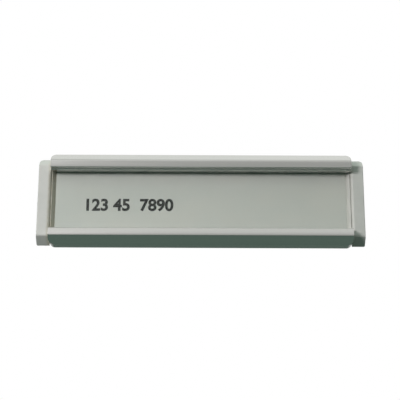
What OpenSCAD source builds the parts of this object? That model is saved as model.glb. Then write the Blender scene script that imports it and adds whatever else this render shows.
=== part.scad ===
// Label holder for a letterbox or a door: an extruded channel with two
// inward lips, closed by a moulded cap at each end, with a printed card
// lying on its floor under a clear strip.
//
// The back lies in the plane Y = 0 and faces +Y, the front faces -Y,
// X runs along the holder and Z points up. The origin is the centre of
// the back. Depths are measured forwards from the back.

/* [Name card] */
// Length of the card
card_l = 100; // [80:0.5:160]
// Height of the card
card_h = 25; // [22:0.5:34]
// Thickness of the card
card_t = 0.3; // [0.2:0.05:0.5]

/* [Clear strip] */
// Thickness of the clear strip
strip_t = 0.9; // [0.5:0.05:1.2]
// Chamfer round the front of the clear strip
strip_edge = 0.15; // [0.05:0.01:0.3]

/* [Channel] */
// Thickness of the channel's floor
floor_t = 1.2; // [1:0.05:2]
// Thickness of the rails' walls
wall_t = 1.1; // [0.8:0.05:1.3]
// Depth of the rails' straight outer sides
side_d = 4.3; // [4:0.1:7]
// Size of the bevel along each rail's outer edge
bevel = 2.6; // [1.5:0.1:3]
// Width of each rail's front, from the bevel to the opening
rail_w = 2.75; // [2.4:0.05:4]
// How far the curved front of each rail falls from the bevel to the opening
front_fall = 0.27; // [0.1:0.01:0.4]
// How much of the card's height each lip covers
lip_cover = 1.8; // [1.3:0.1:2.5]
// Thickness of each lip
lip_t = 1; // [0.8:0.05:1.3]
// How far the foot of each lip steps into the opening
foot_step = 0.4; // [0.2:0.05:0.7]
// Share of that step that its rounded front edge takes up
foot_round = 0.9; // [0.5:0.05:0.95]
// Depth of the foot of each lip
foot_d = 2.6; // [1:0.1:3]
// Thickness of the two ribs that guide the card's long edges
rib_t = 0.7; // [0.5:0.05:0.9]
// Radius of the channel's four corners, seen from the front
corner_r = 1.9; // [0.5:0.1:2.2]
// Radius along the edge between bevel and front, and along the ears' long edges
front_r = 1; // [0.3:0.1:1.2]
// Radius along the other outer edges
edge_r = 0.3; // [0.1:0.05:0.4]

/* [End caps] */
// Length of each cap outside the channel
ear_l = 4.45; // [3:0.05:10]
// Depth of each cap's ear, back to front
ear_d = 3.2; // [3:0.1:3.6]
// How much lower the ear's back is than the channel, at each side
ear_inset = 0.6; // [0:0.05:1.5]
// How far each long side of the ear leans in, from back to front
ear_lean = 2.8; // [0.5:0.1:3]
// Radius of the ear's outer corner at the top
ear_top_r = 1.3; // [0.5:0.1:3]
// Radius of the ear's outer corner at the bottom
ear_bottom_r = 0.4; // [0.2:0.05:3]
// How far the ear's rounded shoulder drops towards the ramp
shoulder_drop = 0.6; // [0.3:0.05:0.8]
// Radius of that shoulder
shoulder_r = 1.2; // [0.8:0.1:2]
// Width of the groove between the shoulder and the ramp
groove_w = 0.3; // [0.2:0.05:0.5]
// Depth of that groove
groove_d = 0.25; // [0.1:0.05:0.4]
// Radius along the ramp's upper edge, beside the groove
brow_r = 0.1; // [0.05:0.01:0.15]
// Length of groove and ramp, from the channel's end to the card
ramp_l = 1.55; // [1.3:0.05:5]
// Wall left round the pockets in the back of each ear
cap_wall = 1; // [0.8:0.05:1.2]
// Number of pockets in the back of each ear
pocket_count = 3; // [3:1:6]
// Corner radius of the pockets
pocket_r = 0.4; // [0.1:0.05:0.4]
// Length of the tongues inside the rails
tongue_l = 9; // [5:0.5:20]
// Taper at the leading end of each tongue
tongue_lead = 0.5; // [0.2:0.05:0.7]

/* [Screw holes] */
// Distance between the two screw holes
hole_pitch = 80; // [40:1:84]
// Diameter of each screw hole
hole_d = 3.6; // [3:0.1:4.5]
// Diameter of each countersink at the channel's floor
sink_d = 5.2; // [4.8:0.1:6.5]
// Depth of each countersink
sink_depth = 0.8; // [0.3:0.05:0.9]

/* [Fits] */
// Play of card and clear strip along the channel, at each end
end_play = 0.1; // [0.05:0.01:0.3]
// Play of card and clear strip between the ribs, at each side
side_play = 0.12; // [0.05:0.01:0.3]
// Play between card and clear strip, and between strip and lips
slide_play = 0.08; // [0.04:0.01:0.2]
// Clearance of the caps' tongues and ramps in the channel
cap_fit = 0.1; // [0.05:0.01:0.2]

/* [Hidden] */
$fn = 64;
past = 1;

opening = card_h - 2 * lip_cover;
channel_h = opening + 2 * (rail_w + bevel);
channel_d = side_d + bevel;
ramp_foot = card_l / 2 + end_play;
channel_l = 2 * (ramp_foot + ramp_l);
strip_back = floor_t + card_t + slide_play;
strip_front = strip_back + strip_t;
foot_back = strip_front + slide_play;
foot_front = foot_back + foot_d;
rib_in = card_h / 2 + side_play;
rib_out = rib_in + rib_t;
rib_d = strip_back + strip_t / 2;
lip_out = opening / 2 + lip_t;
hollow_d = channel_d - wall_t;
mitre = wall_t * (sqrt(2) - 1);
ear_h = channel_h - 2 * ear_inset;
brow_d = ear_d - shoulder_drop;
pocket_d = brow_d - cap_wall;
pocket_w = ear_l - 2 * cap_wall;

// Turns a section drawn as [depth, height] into a bar along X
module along_x(length) {
    rotate([90, 0, -90])
        linear_extrude(height = length, center = true)
            children();
}

// Turns an outline drawn as [x, height] into a block from the back forwards
module forwards(depth) {
    rotate([90, 0, 0])
        linear_extrude(height = depth)
            children();
}

module both_sides() {
    children();
    mirror([0, 1]) children();
}

function unit(v) = v / norm(v);

function turned(v, angle) = [
    v[0] * cos(angle) - v[1] * sin(angle),
    v[0] * sin(angle) + v[1] * cos(angle)
];

// Arc that rounds the corner at the middle one of three points
function rounded(before, at, after, radius, steps = 6) =
    let (
        u = unit(before - at),
        v = unit(after - at),
        half = acos(u * v) / 2,
        centre = at + unit(u + v) * radius / sin(half),
        first = at + u * radius / tan(half) - centre,
        way = sign(cross(u, v)),
        sweep = 180 - 2 * half
    )
    [for (i = [0:steps]) centre + turned(first, -way * sweep * i / steps)];

// Points of a rail's front, level at the bevel and falling to the opening
function front_arc(steps = 12) =
    let (
        radius = (rail_w * rail_w + front_fall * front_fall) / (2 * front_fall),
        reach = asin(rail_w / radius)
    )
    [for (i = [3:steps - 3])
        let (angle = reach * i / steps)
        [
            channel_d - radius + radius * cos(angle),
            opening / 2 + rail_w - radius * sin(angle)
        ]
    ];

// Upper half of the channel's section, from the back round to the floor
function upper_half() =
    let (
        top = channel_h / 2,
        back_top = [0, top],
        side_end = [side_d, top],
        front_out = [channel_d, top - bevel],
        front_in = [channel_d - front_fall, opening / 2],
        front_pts = front_arc(),
        last = len(front_pts) - 1,
        foot_top = [foot_front, opening / 2],
        foot_nose = [foot_front, opening / 2 - foot_step],
        foot_heel = [foot_back, opening / 2 - foot_step]
    )
    concat(
        [back_top],
        rounded(back_top, side_end, front_out, edge_r),
        rounded(side_end, front_out, front_pts[0], front_r),
        front_pts,
        rounded(front_pts[last], front_in, foot_top, edge_r),
        [foot_top],
        rounded(foot_top, foot_nose, foot_heel, foot_step * foot_round),
        [
            foot_heel,
            [foot_back, lip_out],
            [hollow_d, lip_out],
            [hollow_d, top - bevel - mitre],
            [side_d - mitre, top - wall_t],
            [floor_t, top - wall_t],
            [floor_t, rib_out],
            [rib_d, rib_out],
            [rib_d, rib_in],
            [floor_t, rib_in]
        ]
    );

module channel_section() {
    half = upper_half();
    last = len(half) - 1;
    polygon(concat(half, [for (i = [0:last]) [half[last - i][0], -half[last - i][1]]]));
}

module rounded_front() {
    half = [channel_l / 2 - corner_r, channel_h / 2 - corner_r];
    square([channel_l, 2 * half[1]], center = true);
    square([2 * half[0], channel_h], center = true);
    for (sx = [-1, 1], sz = [-1, 1])
        translate([sx * half[0], sz * half[1]])
            circle(r = corner_r);
}

// Through hole with a countersink open to the channel's floor
module screw_hole() {
    rotate([90, 0, 0]) {
        translate([0, 0, -past])
            cylinder(h = floor_t + 2 * past, d = hole_d);
        translate([0, 0, floor_t - sink_depth])
            cylinder(h = sink_depth, d1 = hole_d, d2 = sink_d);
    }
}

module channel() {
    color([0.76, 0.76, 0.75])
        difference() {
            intersection() {
                along_x(channel_l) channel_section();
                forwards(channel_d + past) rounded_front();
            }
            for (side = [-1, 1])
                translate([side * hole_pitch / 2, 0, 0])
                    screw_hole();
        }
}

// Front outline of the right ear, with its two outer corners rounded
module ear_outline() {
    inner = channel_l / 2;
    outer = inner + ear_l;
    top = ear_h / 2;
    polygon(concat(
        [[inner, top]],
        rounded([inner, top], [outer, top], [outer, -top], ear_top_r, 12),
        rounded([outer, top], [outer, -top], [inner, -top], ear_bottom_r, 6),
        [[inner, -top]]
    ));
}

// Section of the ear, its long sides leaning in towards the front
module ear_section() {
    back = [0, ear_h / 2];
    front = [ear_d, ear_h / 2 - ear_lean];
    edge = rounded(back, front, [front[0], 0], front_r);
    last = len(edge) - 1;
    polygon(concat(
        [back],
        edge,
        [for (i = [0:last]) [edge[last - i][0], -edge[last - i][1]]],
        [[back[0], -back[1]]]
    ));
}

// Turns a plan drawn as [x, depth] into a block centred on its height
module upwards(height) {
    linear_extrude(height = height, center = true)
        mirror([0, 1])
            children();
}

// Plan of the right ear as [x, depth], with its outer edge rounded
module ear_plan() {
    front_in = [channel_l / 2, ear_d];
    front_out = [channel_l / 2 + ear_l, ear_d];
    end_back = [channel_l / 2 + ear_l, 0];
    polygon(concat(
        [[front_in[0], 0], front_in],
        rounded(front_in, front_out, end_back, edge_r),
        [end_back]
    ));
}

// Plan of what is cut away in front of the ear's shoulder
module shoulder_plan(steps = 10) {
    turn = acos(1 - shoulder_drop / shoulder_r);
    run = shoulder_r * sin(turn);
    centre = [channel_l / 2 + run, ear_d - shoulder_r];
    polygon(concat(
        [[channel_l / 2 - past, ear_d + past], [channel_l / 2 - past, brow_d]],
        [for (i = [0:steps])
            let (angle = turn * (1 - i / steps))
            centre + shoulder_r * [-sin(angle), cos(angle)]
        ],
        [[centre[0], ear_d + past]]
    ));
}

// Plan of ramp and groove, reaching a little into the ear
module ramp_plan() {
    foot = [ramp_foot, floor_t];
    brow = [channel_l / 2 - groove_w, brow_d];
    groove = [channel_l / 2, brow_d - groove_d];
    root = channel_l / 2 + cap_fit;
    polygon(concat(
        [[foot[0], 0], foot],
        rounded(foot, brow, groove, brow_r),
        [groove, [root, groove[1]], [root, 0]]
    ));
}

// Section that the ramp may fill: under the lips, and between their feet
module ramp_room() {
    wide = rib_in - cap_fit;
    narrow = opening / 2 - foot_step - cap_fit;
    low = foot_back - cap_fit;
    polygon([
        [floor_t, wide],
        [low, wide],
        [low, narrow],
        [channel_d, narrow],
        [channel_d, -narrow],
        [low, -narrow],
        [low, -wide],
        [floor_t, -wide]
    ]);
}

module ear() {
    intersection() {
        translate([channel_l / 2 + ear_l / 2, 0, 0])
            along_x(ear_l) ear_section();
        forwards(ear_d) ear_outline();
        upwards(channel_h) ear_plan();
    }
}

// Pockets in the back of the right ear, with a rib between neighbours
module pockets() {
    top = ear_h / 2 - ear_lean * pocket_d / ear_d - cap_wall;
    pitch = (2 * top + cap_wall) / pocket_count;
    size = [pocket_w / 2, (pitch - cap_wall) / 2];
    for (i = [0:pocket_count - 1])
        translate([channel_l / 2 + ear_l / 2, past, -top + size[1] + i * pitch])
            forwards(pocket_d + past)
                polygon(concat(
                    rounded([-size[0], size[1]], size, [size[0], -size[1]], pocket_r),
                    rounded(size, [size[0], -size[1]], -size, pocket_r),
                    rounded([size[0], -size[1]], -size, [-size[0], size[1]], pocket_r),
                    rounded(-size, [-size[0], size[1]], size, pocket_r)
                ));
}

module ramp() {
    intersection() {
        translate([channel_l / 2 - ramp_l / 2, 0, 0])
            along_x(ramp_l + 2 * cap_fit) ramp_room();
        upwards(channel_h) ramp_plan();
    }
}

// Section of one tongue, the hollow of its rail less the clearance
module tongue_section() {
    high = channel_h / 2 - wall_t - cap_fit;
    front = hollow_d - cap_fit;
    slant = cap_fit * (sqrt(2) - 1);
    polygon([
        [floor_t + cap_fit, rib_out + cap_fit],
        [floor_t + cap_fit, high],
        [side_d - mitre - slant, high],
        [front, channel_h / 2 - bevel - mitre - slant],
        [front, lip_out + cap_fit],
        [foot_back + cap_fit, lip_out + cap_fit],
        [foot_back + cap_fit, rib_out + cap_fit]
    ]);
}

// Plan of the tongues as [x, depth], drawn in at their leading ends
module tongue_plan() {
    tip = channel_l / 2 - tongue_l;
    root = channel_l / 2;
    back = floor_t + cap_fit;
    front = hollow_d - cap_fit;
    polygon([
        [tip, back + tongue_lead],
        [tip + tongue_lead, back],
        [root, back],
        [root, front],
        [tip + tongue_lead, front],
        [tip, front - tongue_lead]
    ]);
}

// Tongues that fill the ends of the two hollow rails
module tongues() {
    intersection() {
        translate([channel_l / 2 - tongue_l / 2, 0, 0])
            along_x(tongue_l)
                both_sides() tongue_section();
        upwards(channel_h) tongue_plan();
    }
}

module end_cap() {
    difference() {
        ear();
        pockets();
        upwards(opening) shoulder_plan();
    }
    ramp();
    tongues();
}

module end_cap_right() {
    color([0.80, 0.80, 0.78]) end_cap();
}

module end_cap_left() {
    color([0.80, 0.80, 0.78]) mirror([1, 0, 0]) end_cap();
}

// Clear strip with a small chamfer round its front
module clear_strip() {
    straight = strip_t - strip_edge;
    color([0.80, 0.87, 0.84, 0.4])
        intersection() {
            translate([-card_l / 2, -strip_front, -card_h / 2])
                cube([card_l, strip_t, card_h]);
            along_x(card_l)
                polygon([
                    [strip_back, -card_h / 2],
                    [strip_back, card_h / 2],
                    [strip_back + straight, card_h / 2],
                    [strip_front, card_h / 2 - strip_edge],
                    [strip_front, -card_h / 2 + strip_edge],
                    [strip_back + straight, -card_h / 2]
                ]);
            translate([0, 0, -card_h / 2])
                linear_extrude(height = card_h)
                    polygon([
                        [-card_l / 2, -strip_back],
                        [card_l / 2, -strip_back],
                        [card_l / 2, -strip_back - straight],
                        [card_l / 2 - strip_edge, -strip_front],
                        [-card_l / 2 + strip_edge, -strip_front],
                        [-card_l / 2, -strip_back - straight]
                    ]);
        }
}

module name_card() {
    color([0.72, 0.75, 0.72])
        translate([-card_l / 2, -floor_t - card_t, -card_h / 2])
            cube([card_l, card_t, card_h]);
}

channel();
end_cap_left();
end_cap_right();
clear_strip();
name_card();
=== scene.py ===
import math

import bpy
from mathutils import Matrix, Vector


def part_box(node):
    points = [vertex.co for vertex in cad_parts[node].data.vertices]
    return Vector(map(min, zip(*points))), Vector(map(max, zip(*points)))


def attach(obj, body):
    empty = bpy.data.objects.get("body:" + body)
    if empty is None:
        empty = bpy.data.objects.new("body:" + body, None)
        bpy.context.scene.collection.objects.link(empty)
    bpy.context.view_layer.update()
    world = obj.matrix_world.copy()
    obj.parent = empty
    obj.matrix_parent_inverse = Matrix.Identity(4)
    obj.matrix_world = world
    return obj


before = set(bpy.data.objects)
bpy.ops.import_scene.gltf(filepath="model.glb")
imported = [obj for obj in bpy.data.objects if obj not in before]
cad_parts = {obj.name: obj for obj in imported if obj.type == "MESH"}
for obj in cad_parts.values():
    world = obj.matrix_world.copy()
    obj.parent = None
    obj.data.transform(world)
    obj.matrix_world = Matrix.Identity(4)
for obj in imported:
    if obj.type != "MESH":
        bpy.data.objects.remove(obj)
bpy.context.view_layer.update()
print("frame loaded")

scene = bpy.context.scene
scene.view_settings.view_transform = "Standard"
mm = 0.001


# Camera, from the edges measured in the photograph

cameraSetup = {
    "below": 16.85,  # degrees below the plate's normal
    "distance": 381.6 * mm,
    "focalPixels": 1103.0,
    "imagePixels": 400.0,
    "sensor": 36.0,
    "centrePixel": (200.9, 203.0),  # where the origin lies in the picture
    "roll": 0.22,  # degrees, right end of the picture down
    "clipStart": 0.01,
}


def makeCamera(setup):
    tilt = math.radians(setup["below"])
    roll = math.radians(setup["roll"])
    forward = Vector((0, math.cos(tilt), math.sin(tilt)))
    right = Vector((1, 0, 0))
    up = right.cross(forward)
    perPixel = setup["distance"] / setup["focalPixels"]
    half = setup["imagePixels"] / 2
    aside = (setup["centrePixel"][0] - half) * perPixel
    down = (setup["centrePixel"][1] - half) * perPixel
    place = -forward * setup["distance"] - right * aside + up * down
    rolledRight = right * math.cos(roll) + up * math.sin(roll)
    rolledUp = up * math.cos(roll) - right * math.sin(roll)
    data = bpy.data.cameras.new("camera")
    data.sensor_width = setup["sensor"]
    data.lens = setup["focalPixels"] / setup["imagePixels"] * setup["sensor"]
    data.clip_start = setup["clipStart"]
    camera = bpy.data.objects.new("camera", data)
    turn = Matrix((rolledRight, rolledUp, -forward)).transposed()
    camera.matrix_world = Matrix.Translation(place) @ turn.to_4x4()
    scene.collection.objects.link(camera)
    scene.camera = camera


makeCamera(cameraSetup)
print("camera placed")


# Node helpers

def addNode(tree, kind, **values):
    node = tree.nodes.new(kind)
    for name, value in values.items():
        setattr(node, name, value)
    return node


def setInputs(node, values):
    for name, value in values.items():
        node.inputs[name].default_value = value


def newMaterial(name):
    material = bpy.data.materials.new(name)
    material.use_nodes = True
    tree = material.node_tree
    return material, tree, tree.nodes["Principled BSDF"]


def newGroup(name, inputs, outputs):
    group = bpy.data.node_groups.new(name, "ShaderNodeTree")
    for label, kind, value in inputs:
        socket = group.interface.new_socket(name=label, in_out="INPUT", socket_type=kind)
        socket.default_value = value
    for label, kind in outputs:
        group.interface.new_socket(name=label, in_out="OUTPUT", socket_type=kind)
    return group, group.nodes.new("NodeGroupInput"), group.nodes.new("NodeGroupOutput")


def placeGroup(tree, group, values):
    node = addNode(tree, "ShaderNodeGroup", node_tree=group)
    setInputs(node, values)
    return node


# Shared effects

noiseReach = {"From Min": 0.3, "From Max": 0.7}  # nearly all of a noise texture's values lie here


def makeGrain():
    group, given, result = newGroup(
        "fineGrain",
        [("Stretch", "NodeSocketVector", (1, 1, 1)), ("Scale", "NodeSocketFloat", 2000),
         ("Detail", "NodeSocketFloat", 3), ("Low", "NodeSocketFloat", 0.0), ("High", "NodeSocketFloat", 1.0)],
        [("Height", "NodeSocketFloat"), ("Level", "NodeSocketFloat")],
    )
    link = group.links.new
    where = addNode(group, "ShaderNodeTexCoord")
    mapping = addNode(group, "ShaderNodeMapping")
    noise = addNode(group, "ShaderNodeTexNoise")
    spread = addNode(group, "ShaderNodeMapRange")
    link(where.outputs["Object"], mapping.inputs["Vector"])
    link(given.outputs["Stretch"], mapping.inputs["Scale"])
    link(mapping.outputs["Vector"], noise.inputs["Vector"])
    link(given.outputs["Scale"], noise.inputs["Scale"])
    link(given.outputs["Detail"], noise.inputs["Detail"])
    link(noise.outputs["Fac"], spread.inputs["Value"])
    link(given.outputs["Low"], spread.inputs["To Min"])
    link(given.outputs["High"], spread.inputs["To Max"])
    setInputs(spread, noiseReach)
    link(noise.outputs["Fac"], result.inputs["Height"])
    link(spread.outputs["Result"], result.inputs["Level"])
    return group


def makeDrift():
    group, given, result = newGroup(
        "toneDrift",
        [("First", "NodeSocketColor", (0.5, 0.5, 0.5, 1)), ("Second", "NodeSocketColor", (0.6, 0.6, 0.6, 1)),
         ("Stretch", "NodeSocketVector", (1, 1, 1)), ("Scale", "NodeSocketFloat", 60)],
        [("Color", "NodeSocketColor")],
    )
    link = group.links.new
    where = addNode(group, "ShaderNodeTexCoord")
    mapping = addNode(group, "ShaderNodeMapping")
    noise = addNode(group, "ShaderNodeTexNoise")
    spread = addNode(group, "ShaderNodeMapRange")
    mix = addNode(group, "ShaderNodeMix", data_type="RGBA")
    link(where.outputs["Object"], mapping.inputs["Vector"])
    link(given.outputs["Stretch"], mapping.inputs["Scale"])
    link(mapping.outputs["Vector"], noise.inputs["Vector"])
    link(given.outputs["Scale"], noise.inputs["Scale"])
    setInputs(noise, {"Detail": 4.0, "Roughness": 0.6})
    link(noise.outputs["Fac"], spread.inputs["Value"])
    setInputs(spread, noiseReach)
    link(spread.outputs["Result"], mix.inputs["Factor"])
    link(given.outputs["First"], mix.inputs["A"])
    link(given.outputs["Second"], mix.inputs["B"])
    link(mix.outputs["Result"], result.inputs["Color"])
    return group


# Dust and painted shade: darkens a colour in patches where ambient occlusion finds creases, recesses and gaps
# between parts
def makeCreviceDustAndShade():
    group, given, result = newGroup(
        "creviceDustAndShade",
        [("Clean", "NodeSocketColor", (0.5, 0.5, 0.5, 1)), ("DustAndShade", "NodeSocketColor", (0.3, 0.27, 0.22, 1)),
         ("Reach", "NodeSocketFloat", 0.0015), ("Amount", "NodeSocketFloat", 0.6),
         ("Patches", "NodeSocketFloat", 260)],
        [("Color", "NodeSocketColor")],
    )
    link = group.links.new
    where = addNode(group, "ShaderNodeTexCoord")
    near = addNode(group, "ShaderNodeAmbientOcclusion", samples=12, only_local=False)
    hidden = addNode(group, "ShaderNodeMapRange")
    noise = addNode(group, "ShaderNodeTexNoise")
    patch = addNode(group, "ShaderNodeMapRange")
    spotted = addNode(group, "ShaderNodeMath", operation="MULTIPLY")
    mask = addNode(group, "ShaderNodeMath", operation="MULTIPLY", use_clamp=True)
    mix = addNode(group, "ShaderNodeMix", data_type="RGBA")
    link(given.outputs["Reach"], near.inputs["Distance"])
    link(near.outputs["AO"], hidden.inputs["Value"])
    setInputs(hidden, {"From Min": 0.35, "From Max": 0.95, "To Min": 1.0, "To Max": 0.0})
    link(where.outputs["Object"], noise.inputs["Vector"])
    link(given.outputs["Patches"], noise.inputs["Scale"])
    setInputs(noise, {"Detail": 5.0, "Roughness": 0.65})
    link(noise.outputs["Fac"], patch.inputs["Value"])
    setInputs(patch, {**noiseReach, "To Min": 0.35, "To Max": 1.0})
    link(hidden.outputs["Result"], spotted.inputs[0])
    link(patch.outputs["Result"], spotted.inputs[1])
    link(spotted.outputs["Value"], mask.inputs[0])
    link(given.outputs["Amount"], mask.inputs[1])
    link(mask.outputs["Value"], mix.inputs["Factor"])
    link(given.outputs["Clean"], mix.inputs["A"])
    link(given.outputs["DustAndShade"], mix.inputs["B"])
    link(mix.outputs["Result"], result.inputs["Color"])
    return group


# Grime and painted shade: darkens a cap's colour in patches inward of a given distance from the middle, over
# its shoulder and ramp by the channel's end
def makeGrimeAndShade():
    group, given, result = newGroup(
        "shoulderGrimeAndShade",
        [("Clean", "NodeSocketColor", (0.5, 0.5, 0.5, 1)), ("GrimeAndShade", "NodeSocketColor", (0.4, 0.35, 0.25, 1)),
         ("From", "NodeSocketFloat", 0.053), ("To", "NodeSocketFloat", 0.052),
         ("Amount", "NodeSocketFloat", 0.5), ("Patches", "NodeSocketFloat", 500)],
        [("Color", "NodeSocketColor")],
    )
    link = group.links.new
    where = addNode(group, "ShaderNodeTexCoord")
    axes = addNode(group, "ShaderNodeSeparateXYZ")
    away = addNode(group, "ShaderNodeMath", operation="ABSOLUTE")
    band = addNode(group, "ShaderNodeMapRange", interpolation_type="SMOOTHSTEP")
    noise = addNode(group, "ShaderNodeTexNoise")
    patch = addNode(group, "ShaderNodeMapRange")
    spotted = addNode(group, "ShaderNodeMath", operation="MULTIPLY")
    mask = addNode(group, "ShaderNodeMath", operation="MULTIPLY", use_clamp=True)
    mix = addNode(group, "ShaderNodeMix", data_type="RGBA")
    link(where.outputs["Object"], axes.inputs["Vector"])
    link(axes.outputs["X"], away.inputs[0])
    link(away.outputs["Value"], band.inputs["Value"])
    link(given.outputs["From"], band.inputs["From Min"])
    link(given.outputs["To"], band.inputs["From Max"])
    link(where.outputs["Object"], noise.inputs["Vector"])
    link(given.outputs["Patches"], noise.inputs["Scale"])
    setInputs(noise, {"Detail": 4.0, "Roughness": 0.6})
    link(noise.outputs["Fac"], patch.inputs["Value"])
    setInputs(patch, {"From Min": 0.3, "From Max": 0.65, "To Min": 0.45, "To Max": 1.0})
    link(band.outputs["Result"], spotted.inputs[0])
    link(patch.outputs["Result"], spotted.inputs[1])
    link(spotted.outputs["Value"], mask.inputs[0])
    link(given.outputs["Amount"], mask.inputs[1])
    link(mask.outputs["Value"], mix.inputs["Factor"])
    link(given.outputs["Clean"], mix.inputs["A"])
    link(given.outputs["GrimeAndShade"], mix.inputs["B"])
    link(mix.outputs["Result"], result.inputs["Color"])
    return group


fineGrain = makeGrain()
toneDrift = makeDrift()
shoulderGrimeAndShade = makeGrimeAndShade()
creviceDustAndShade = makeCreviceDustAndShade()


# Satin anodised aluminium of the channel

railMetal = {
    "darker": (0.68, 0.69, 0.665, 1),
    "lighter": (0.735, 0.73, 0.71, 1),
    "driftScale": 40.0,
    "driftStretch": (0.15, 1, 1),
    "drawn": (0.004, 1, 1),  # the die's lines run along X
    "lineScale": 5200.0,
    "roughLow": 0.18,
    "roughHigh": 0.26,
    "lineDepth": 0.006 * mm,
    "lineStrength": 0.2,
    # dust colour, also painted shade in the metal's creases and under its lips
    "dustAndShade": (0.30, 0.29, 0.25, 1),
    "dustAndShadeReach": 0.8 * mm,
    "dustAndShadeAmount": 0.5,
}


def makeRailMetal(look):
    material, tree, shader = newMaterial("railMetal")
    link = tree.links.new
    drift = placeGroup(tree, toneDrift, {"First": look["darker"], "Second": look["lighter"],
                                         "Stretch": look["driftStretch"], "Scale": look["driftScale"]})
    lines = placeGroup(tree, fineGrain, {"Stretch": look["drawn"], "Scale": look["lineScale"],
                                         "Low": look["roughLow"], "High": look["roughHigh"]})
    bump = addNode(tree, "ShaderNodeBump")
    setInputs(bump, {"Strength": look["lineStrength"], "Distance": look["lineDepth"]})
    dustAndShade = placeGroup(tree, creviceDustAndShade, {"DustAndShade": look["dustAndShade"], "Reach": look["dustAndShadeReach"],
                                          "Amount": look["dustAndShadeAmount"]})
    link(drift.outputs["Color"], dustAndShade.inputs["Clean"])
    link(dustAndShade.outputs["Color"], shader.inputs["Base Color"])
    link(lines.outputs["Level"], shader.inputs["Roughness"])
    link(lines.outputs["Height"], bump.inputs["Height"])
    link(bump.outputs["Normal"], shader.inputs["Normal"])
    setInputs(shader, {"Metallic": 1.0})
    return material


# Moulded light grey plastic of the end caps

capPlastic = {
    "darker": (0.51, 0.517, 0.492, 1),
    "lighter": (0.568, 0.572, 0.548, 1),
    "driftScale": 140.0,
    "grainScale": 4200.0,
    "roughLow": 0.42,
    "roughHigh": 0.6,
    "grainDepth": 0.02 * mm,
    "grainStrength": 0.4,
    # dust colour, also painted shade in the cap's creases and its groove
    "dustAndShade": (0.29, 0.27, 0.20, 1),
    "dustAndShadeReach": 1.6 * mm,
    # grime colour, also painted shade on the shoulder and ramp
    "grimeAndShade": (0.36, 0.32, 0.20, 1),
    "grimeAndShadeFrom": 53.2 * mm,  # grime and painted shade start this far from the middle
    "grimeAndShadeTo": 51.9 * mm,
}

capDirtAndShade = {  # the left cap gets more: dirt, and painted shade on its shoulder and ramp, which face away from the key lamp
    "end_cap_left": {"dustAndShade": 0.5, "grimeAndShade": 0.6},
    "end_cap_right": {"dustAndShade": 0.15, "grimeAndShade": 0.08},
}


def makeCapPlastic(look, dirtAndShade):
    material, tree, shader = newMaterial("capPlastic")
    link = tree.links.new
    drift = placeGroup(tree, toneDrift, {"First": look["darker"], "Second": look["lighter"],
                                         "Scale": look["driftScale"]})
    grain = placeGroup(tree, fineGrain, {"Scale": look["grainScale"], "Low": look["roughLow"],
                                         "High": look["roughHigh"]})
    dustAndShade = placeGroup(tree, creviceDustAndShade, {"DustAndShade": look["dustAndShade"], "Reach": look["dustAndShadeReach"],
                                          "Amount": dirtAndShade["dustAndShade"]})
    grimeAndShade = placeGroup(tree, shoulderGrimeAndShade, {"GrimeAndShade": look["grimeAndShade"], "From": look["grimeAndShadeFrom"],
                                             "To": look["grimeAndShadeTo"], "Amount": dirtAndShade["grimeAndShade"]})
    bump = addNode(tree, "ShaderNodeBump")
    setInputs(bump, {"Strength": look["grainStrength"], "Distance": look["grainDepth"]})
    link(drift.outputs["Color"], grimeAndShade.inputs["Clean"])
    link(grimeAndShade.outputs["Color"], dustAndShade.inputs["Clean"])
    link(dustAndShade.outputs["Color"], shader.inputs["Base Color"])
    link(grain.outputs["Level"], shader.inputs["Roughness"])
    link(grain.outputs["Height"], bump.inputs["Height"])
    link(bump.outputs["Normal"], shader.inputs["Normal"])
    return material


# Matt silver-grey card

cardStock = {
    "darker": (0.492, 0.507, 0.482, 1),
    "lighter": (0.538, 0.531, 0.496, 1),
    "driftScale": 70.0,
    "driftStretch": (0.5, 1, 1),
    "grainScale": 3000.0,
    "roughLow": 0.6,
    "roughHigh": 0.8,
    "grainDepth": 0.01 * mm,
    "grainStrength": 0.3,
}


def makeCardStock(look):
    material, tree, shader = newMaterial("cardStock")
    link = tree.links.new
    drift = placeGroup(tree, toneDrift, {"First": look["darker"], "Second": look["lighter"],
                                         "Stretch": look["driftStretch"], "Scale": look["driftScale"]})
    grain = placeGroup(tree, fineGrain, {"Scale": look["grainScale"], "Low": look["roughLow"],
                                         "High": look["roughHigh"]})
    bump = addNode(tree, "ShaderNodeBump")
    setInputs(bump, {"Strength": look["grainStrength"], "Distance": look["grainDepth"]})
    link(drift.outputs["Color"], shader.inputs["Base Color"])
    link(grain.outputs["Level"], shader.inputs["Roughness"])
    link(grain.outputs["Height"], bump.inputs["Height"])
    link(bump.outputs["Normal"], shader.inputs["Normal"])
    return material


# Clear strip: a glossy film of reflection over what lies behind it

stripClear = {
    "tint": (0.955, 0.97, 0.96, 1),
    "index": 1.4,
    "grainScale": 300.0,
    "roughLow": 0.04,
    "roughHigh": 0.06,
}


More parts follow.
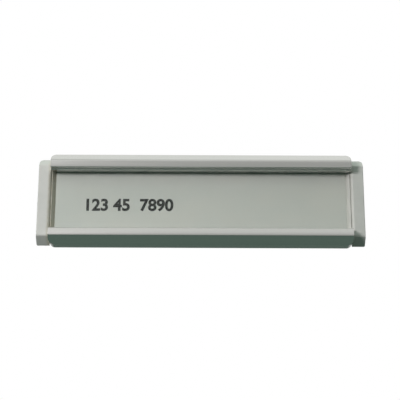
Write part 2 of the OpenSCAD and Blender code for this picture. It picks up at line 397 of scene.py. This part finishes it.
def makeStripClear(look):
    material, tree, shader = newMaterial("stripClear")
    link = tree.links.new
    grain = placeGroup(tree, fineGrain, {"Scale": look["grainScale"], "Low": look["roughLow"],
                                         "High": look["roughHigh"]})
    link(grain.outputs["Level"], shader.inputs["Roughness"])
    setInputs(shader, {"Base Color": look["tint"], "IOR": look["index"], "Transmission Weight": 1.0})
    clear = addNode(tree, "ShaderNodeBsdfTransparent")
    setInputs(clear, {"Color": look["tint"]})
    ray = addNode(tree, "ShaderNodeLightPath")
    straight = addNode(tree, "ShaderNodeMath", operation="MAXIMUM")  # light to and from the card passes unbent
    mix = addNode(tree, "ShaderNodeMixShader")
    link(ray.outputs["Is Shadow Ray"], straight.inputs[0])
    link(ray.outputs["Is Diffuse Ray"], straight.inputs[1])
    link(straight.outputs["Value"], mix.inputs["Fac"])
    link(shader.outputs["BSDF"], mix.inputs[1])
    link(clear.outputs["BSDF"], mix.inputs[2])
    link(mix.outputs["Shader"], tree.nodes["Material Output"].inputs["Surface"])
    return material


def dress(nodeName, material):
    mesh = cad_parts[nodeName].data
    mesh.materials.clear()
    mesh.materials.append(material)


dress("channel", makeRailMetal(railMetal))
for cap, dirtAndShade in capDirtAndShade.items():
    dress(cap, makeCapPlastic(capPlastic, dirtAndShade))
dress("name_card", makeCardStock(cardStock))
dress("clear_strip", makeStripClear(stripClear))
print("CAD nodes dressed")


# Plain numbers printed on the card

cardPrint = {
    "numbers": "123 45  7890",
    "size": 5.8 * mm,
    "bolder": 0.034,  # share of the size added round every stroke; it would break a 6
    "left": -40.4 * mm,
    "baseline": -3.3 * mm,
    "thickness": 0.012 * mm,
    "ink": (0.007, 0.008, 0.007, 1),
    "wornInk": (0.016, 0.018, 0.016, 1),
    "wornScale": 900.0,
    "rough": 0.8,
    "shine": 0.1,
}


def makePrint(look):
    letters = bpy.data.curves.new("card_print", "FONT")
    letters.body = look["numbers"]
    letters.size = look["size"]
    letters.offset = look["bolder"] * look["size"]
    letters.extrude = look["thickness"] / 2
    maker = bpy.data.objects.new("printMaker", letters)
    scene.collection.objects.link(maker)
    bpy.context.view_layer.update()
    mesh = bpy.data.meshes.new_from_object(maker.evaluated_get(bpy.context.evaluated_depsgraph_get()))
    bpy.data.objects.remove(maker)
    cardLow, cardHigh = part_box("name_card")
    place = Vector((look["left"], cardLow.y - look["thickness"] / 2, look["baseline"]))
    mesh.transform(Matrix.Translation(place) @ Matrix.Rotation(math.radians(90), 4, "X"))
    mesh.name = "card_print"

    material, tree, shader = newMaterial("printInk")
    drift = placeGroup(tree, toneDrift, {"First": look["ink"], "Second": look["wornInk"],
                                         "Scale": look["wornScale"]})
    tree.links.new(drift.outputs["Color"], shader.inputs["Base Color"])
    setInputs(shader, {"Roughness": look["rough"], "Specular IOR Level": look["shine"]})
    mesh.materials.clear()
    mesh.materials.append(material)
    piece = bpy.data.objects.new("card_print", mesh)
    scene.collection.objects.link(piece)
    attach(piece, "root")


makePrint(cardPrint)
print("print laid on the card")


# Floor, world and lamps

stageSetup = {
    "floorDrop": 600 * mm,
    "floorAhead": 3.0,
    "floorBeyond": 20.0,  # behind and to the sides
    "floorNear": (0.115, 0.155, 0.14, 1),  # what the object sees; the camera sees it white
    "floorAside": (0.6, 0.52, 0.565, 1),
    "floorTurn": (0.7, 1.3),  # behind and to both sides it lightens between these distances, in metres
    "floorRough": 0.9,
    "airTint": (0.85, 1.0, 0.90, 1),
    "seenTint": (0.99, 1.0, 0.98, 1),
    "airLevel": 0.0,  # light from the sides and below
    "airOverhead": 0.85,  # and from above
    "airRise": (0.25, 0.6),  # heights between which it brightens
    "seenAhead": 0.42,  # the room in front, in reflections
    "seenOverhead": 0.83,
    "seenRise": (0.7, 1.0),
    "seenBehind": 0.90,  # the white background
    "seenTurn": (-0.1, 0.3),  # it begins between these depths
    "seenLow": (-0.05, 0.35),  # it fades out between these heights
}

lampSetup = {
    "key": {"toward": (-0.58, -0.79, 0.19), "distance": 0.52, "size": (0.14, 0.14), "power": 1.85,
            "color": (1.0, 0.95, 0.965)},
    "soft": {"toward": (0, -0.83, 0.56), "distance": 0.8, "size": (2.4, 0.42), "power": 0.9,
             "color": (1.0, 1.0, 0.98)},
}


def makeFloor(setup):
    far = setup["floorBeyond"]
    near = -setup["floorAhead"]
    z = -setup["floorDrop"]
    mesh = bpy.data.meshes.new("floor")
    corners = [(-far, near, z), (far, near, z), (far, far, z), (-far, far, z)]
    mesh.from_pydata(corners, [], [(0, 1, 2, 3)])
    floor = bpy.data.objects.new("floor", mesh)
    scene.collection.objects.link(floor)
    material, tree, shader = newMaterial("floorPale")
    link = tree.links.new
    where = addNode(tree, "ShaderNodeTexCoord")
    axes = addNode(tree, "ShaderNodeSeparateXYZ")
    sideways = addNode(tree, "ShaderNodeMath", operation="ABSOLUTE")
    lesser = addNode(tree, "ShaderNodeMath", operation="MINIMUM")
    away = addNode(tree, "ShaderNodeMapRange", interpolation_type="SMOOTHSTEP")
    shade = addNode(tree, "ShaderNodeMix", data_type="RGBA")
    link(where.outputs["Object"], axes.inputs["Vector"])
    link(axes.outputs["X"], sideways.inputs[0])
    link(sideways.outputs["Value"], lesser.inputs[0])
    link(axes.outputs["Y"], lesser.inputs[1])
    link(lesser.outputs["Value"], away.inputs["Value"])
    setInputs(away, {"From Min": setup["floorTurn"][0], "From Max": setup["floorTurn"][1]})
    link(away.outputs["Result"], shade.inputs["Factor"])
    setInputs(shade, {"A": setup["floorNear"], "B": setup["floorAside"]})
    link(shade.outputs["Result"], shader.inputs["Base Color"])
    setInputs(shader, {"Roughness": setup["floorRough"]})
    glow = addNode(tree, "ShaderNodeEmission")
    ray = addNode(tree, "ShaderNodeLightPath")
    mix = addNode(tree, "ShaderNodeMixShader")
    link(ray.outputs["Is Camera Ray"], mix.inputs["Fac"])
    link(shader.outputs["BSDF"], mix.inputs[1])
    link(glow.outputs["Emission"], mix.inputs[2])
    link(mix.outputs["Shader"], tree.nodes["Material Output"].inputs["Surface"])
    mesh.materials.append(material)


def makeWorld(setup):
    world = bpy.data.worlds.new("studio")
    world.use_nodes = True
    scene.world = world
    tree = world.node_tree
    link = tree.links.new
    where = addNode(tree, "ShaderNodeTexCoord")
    axes = addNode(tree, "ShaderNodeSeparateXYZ")
    air = addNode(tree, "ShaderNodeMapRange")
    ahead = addNode(tree, "ShaderNodeMapRange")
    behind = addNode(tree, "ShaderNodeMapRange", interpolation_type="SMOOTHSTEP")
    risen = addNode(tree, "ShaderNodeMapRange", interpolation_type="SMOOTHSTEP")
    both = addNode(tree, "ShaderNodeMath", operation="MULTIPLY")
    link(where.outputs["Generated"], axes.inputs["Vector"])
    link(axes.outputs["Z"], air.inputs["Value"])
    link(axes.outputs["Z"], ahead.inputs["Value"])
    link(axes.outputs["Y"], behind.inputs["Value"])
    link(axes.outputs["Z"], risen.inputs["Value"])
    setInputs(air, {"From Min": setup["airRise"][0], "From Max": setup["airRise"][1],
                    "To Min": setup["airLevel"], "To Max": setup["airOverhead"]})
    setInputs(ahead, {"From Min": setup["seenRise"][0], "From Max": setup["seenRise"][1],
                      "To Min": setup["seenAhead"], "To Max": setup["seenOverhead"]})
    setInputs(behind, {"From Min": setup["seenTurn"][0], "From Max": setup["seenTurn"][1]})
    setInputs(risen, {"From Min": setup["seenLow"][0], "From Max": setup["seenLow"][1]})
    link(behind.outputs["Result"], both.inputs[0])
    link(risen.outputs["Result"], both.inputs[1])

    ray = addNode(tree, "ShaderNodeLightPath")
    direct = addNode(tree, "ShaderNodeMath", operation="MAXIMUM")
    link(ray.outputs["Is Camera Ray"], direct.inputs[0])
    link(ray.outputs["Is Transmission Ray"], direct.inputs[1])
    seen = addNode(tree, "ShaderNodeMix", data_type="FLOAT")
    glossy = addNode(tree, "ShaderNodeMix", data_type="FLOAT")
    white = addNode(tree, "ShaderNodeMix", data_type="FLOAT")
    setInputs(white, {"B": 1.0})
    setInputs(seen, {"B": setup["seenBehind"]})
    link(both.outputs["Value"], seen.inputs["Factor"])
    link(ahead.outputs["Result"], seen.inputs["A"])
    link(ray.outputs["Is Glossy Ray"], glossy.inputs["Factor"])
    link(air.outputs["Result"], glossy.inputs["A"])
    link(seen.outputs["Result"], glossy.inputs["B"])
    link(direct.outputs["Value"], white.inputs["Factor"])
    link(glossy.outputs["Result"], white.inputs["A"])

    shine = addNode(tree, "ShaderNodeMix", data_type="RGBA")
    tint = addNode(tree, "ShaderNodeMix", data_type="RGBA")
    setInputs(shine, {"A": setup["airTint"], "B": setup["seenTint"]})
    setInputs(tint, {"B": (1, 1, 1, 1)})
    link(ray.outputs["Is Glossy Ray"], shine.inputs["Factor"])
    link(shine.outputs["Result"], tint.inputs["A"])
    link(direct.outputs["Value"], tint.inputs["Factor"])
    light = tree.nodes["Background"]
    link(tint.outputs["Result"], light.inputs["Color"])
    link(white.outputs["Result"], light.inputs["Strength"])


def makeLamp(name, setup):
    data = bpy.data.lights.new(name, "AREA")
    data.shape = "RECTANGLE"
    data.size, data.size_y = setup["size"]
    data.energy = setup["power"]
    data.color = setup["color"]
    lamp = bpy.data.objects.new(name, data)
    toward = Vector(setup["toward"]).normalized()
    lamp.location = toward * setup["distance"]
    lamp.rotation_euler = toward.to_track_quat("Z", "Y").to_euler()
    scene.collection.objects.link(lamp)


makeFloor(stageSetup)
makeWorld(stageSetup)
for lampName, setup in lampSetup.items():
    makeLamp(lampName, setup)
print("stage lit")
